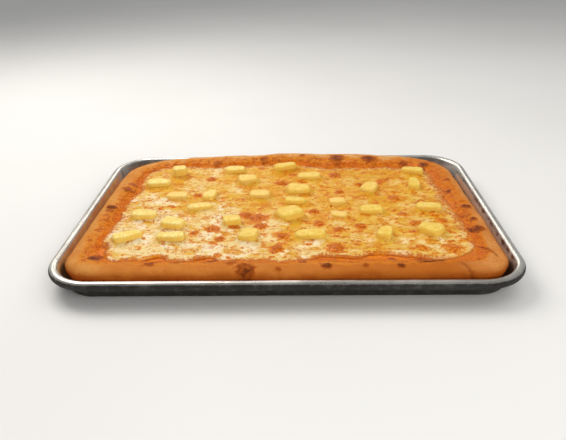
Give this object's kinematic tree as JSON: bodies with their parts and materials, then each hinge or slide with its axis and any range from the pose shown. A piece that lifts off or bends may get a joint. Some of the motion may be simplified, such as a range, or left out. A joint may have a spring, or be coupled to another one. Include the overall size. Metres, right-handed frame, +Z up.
{
  "type": "hawaiian pan pizza in a sheet pan",
  "caption": "Rectangular pan pizza with a thick raised crust, sauce, browned melted cheese and pineapple chunks, in the rimmed aluminium half-size sheet pan it was baked in",
  "frame": {"origin": "Centre of the pan's underside, in the plane that the pan stands on", "axes": "+X runs along the pan's long side to the right of the picture, +Y runs away from the viewer along the short side, +Z is up"},
  "size_m": [0.4572, 0.3302, 0.0401],
  "materials": {
    "bare_aluminium": "worn satin, faintly brushed and oven stained",
    "baked_dough": "golden brown bread crust, matt, with dark baked spots",
    "tomato_sauce": "oily orange sauce, satin",
    "melted_cheese": "melted cheese, cream to gold with brown blisters, satin",
    "pineapple_flesh": "moist fibrous fruit, satin"
  },
  "bodies": {
    "root": {"sheet_pan": "bare_aluminium", "dough": "baked_dough", "sauce": "tomato_sauce", "cheese": "melted_cheese", "pineapple_01": "pineapple_flesh", "pineapple_02": "pineapple_flesh", "pineapple_03": "pineapple_flesh", "pineapple_04": "pineapple_flesh", "pineapple_05": "pineapple_flesh", "pineapple_06": "pineapple_flesh", "pineapple_07": "pineapple_flesh", "pineapple_08": "pineapple_flesh", "pineapple_09": "pineapple_flesh", "pineapple_10": "pineapple_flesh", "pineapple_11": "pineapple_flesh", "pineapple_12": "pineapple_flesh", "pineapple_13": "pineapple_flesh", "pineapple_14": "pineapple_flesh", "pineapple_15": "pineapple_flesh", "pineapple_16": "pineapple_flesh", "pineapple_17": "pineapple_flesh", "pineapple_18": "pineapple_flesh", "pineapple_19": "pineapple_flesh", "pineapple_20": "pineapple_flesh", "pineapple_21": "pineapple_flesh", "pineapple_22": "pineapple_flesh", "pineapple_23": "pineapple_flesh", "pineapple_24": "pineapple_flesh", "pineapple_25": "pineapple_flesh", "pineapple_26": "pineapple_flesh", "pineapple_27": "pineapple_flesh", "pineapple_28": "pineapple_flesh", "pineapple_29": "pineapple_flesh"}
  },
  "joints": []
}
